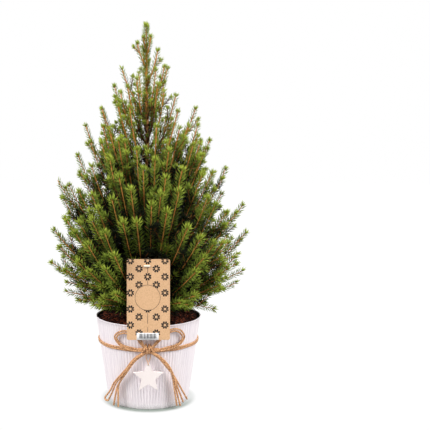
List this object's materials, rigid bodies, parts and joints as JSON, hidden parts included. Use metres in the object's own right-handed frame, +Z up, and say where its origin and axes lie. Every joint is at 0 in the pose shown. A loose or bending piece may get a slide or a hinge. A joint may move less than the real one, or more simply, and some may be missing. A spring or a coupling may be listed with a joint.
{
  "type": "potted alberta spruce",
  "caption": "Dwarf conical spruce in a tapered whitewashed metal planter, with a twine bow, a hanging wooden star and a card label; stands on its flat base.",
  "frame": {"origin": "centre of the planter's flat underside", "axes": "+Z up along the planter's axis and the trunk, -Y towards the front, where the bow, star and label are, +X to the right seen from the front"},
  "size_m": [0.3906, 0.3221, 0.6797],
  "materials": {
    "whitewashed_zinc": "ribbed sheet metal, brushed with thin white paint, satin",
    "bark_mulch": "dark chipped bark over potting soil, matt",
    "bark": "brown scaly bark, orange-brown on young twigs",
    "needles": "mid to deep green needles with yellow-green tips",
    "jute_twine": "twisted natural jute, hairy",
    "painted_wood": "thin plywood, painted white",
    "kraft_card": "uncoated brown card with a printed star pattern",
    "white_plastic": "thin white plastic tie"
  },
  "bodies": {
    "root": {"bough_12": "bark", "bough_14": "bark", "bough_15": "bark", "bough_17": "bark", "bough_18": "bark", "bough_19": "bark", "bough_20": "bark", "bough_21": "bark", "bough_22": "bark", "bough_23": "bark", "bough_24": "bark", "bough_25": "bark", "bough_26": "bark", "bough_27": "bark", "bough_28": "bark", "bough_29": "bark", "foliage_1": "needles", "foliage_10": "needles", "foliage_11": "needles", "foliage_12": "needles", "foliage_13": "needles", "foliage_14": "needles", "foliage_15": "needles", "foliage_16": "needles", "foliage_17": "needles", "foliage_18": "needles", "foliage_19": "needles", "foliage_2": "needles", "foliage_20": "needles", "foliage_21": "needles", "foliage_22": "needles", "foliage_23": "needles", "foliage_24": "needles", "foliage_25": "needles", "foliage_26": "needles", "foliage_27": "needles", "foliage_28": "needles", "foliage_29": "needles", "foliage_3": "needles", "foliage_30": "needles", "foliage_31": "needles", "foliage_32": "needles", "foliage_4": "needles", "foliage_5": "needles", "foliage_6": "needles", "foliage_7": "needles", "foliage_8": "needles", "foliage_9": "needles", "foliage_leader": "needles", "label_card": "kraft_card", "label_tie": "white_plastic", "planter": "whitewashed_zinc", "soil": "bark_mulch", "star_thread": "jute_twine", "trunk": "bark", "twine_band": "jute_twine", "twine_bow": "jute_twine", "wooden_star": "painted_wood"}
  },
  "joints": []
}
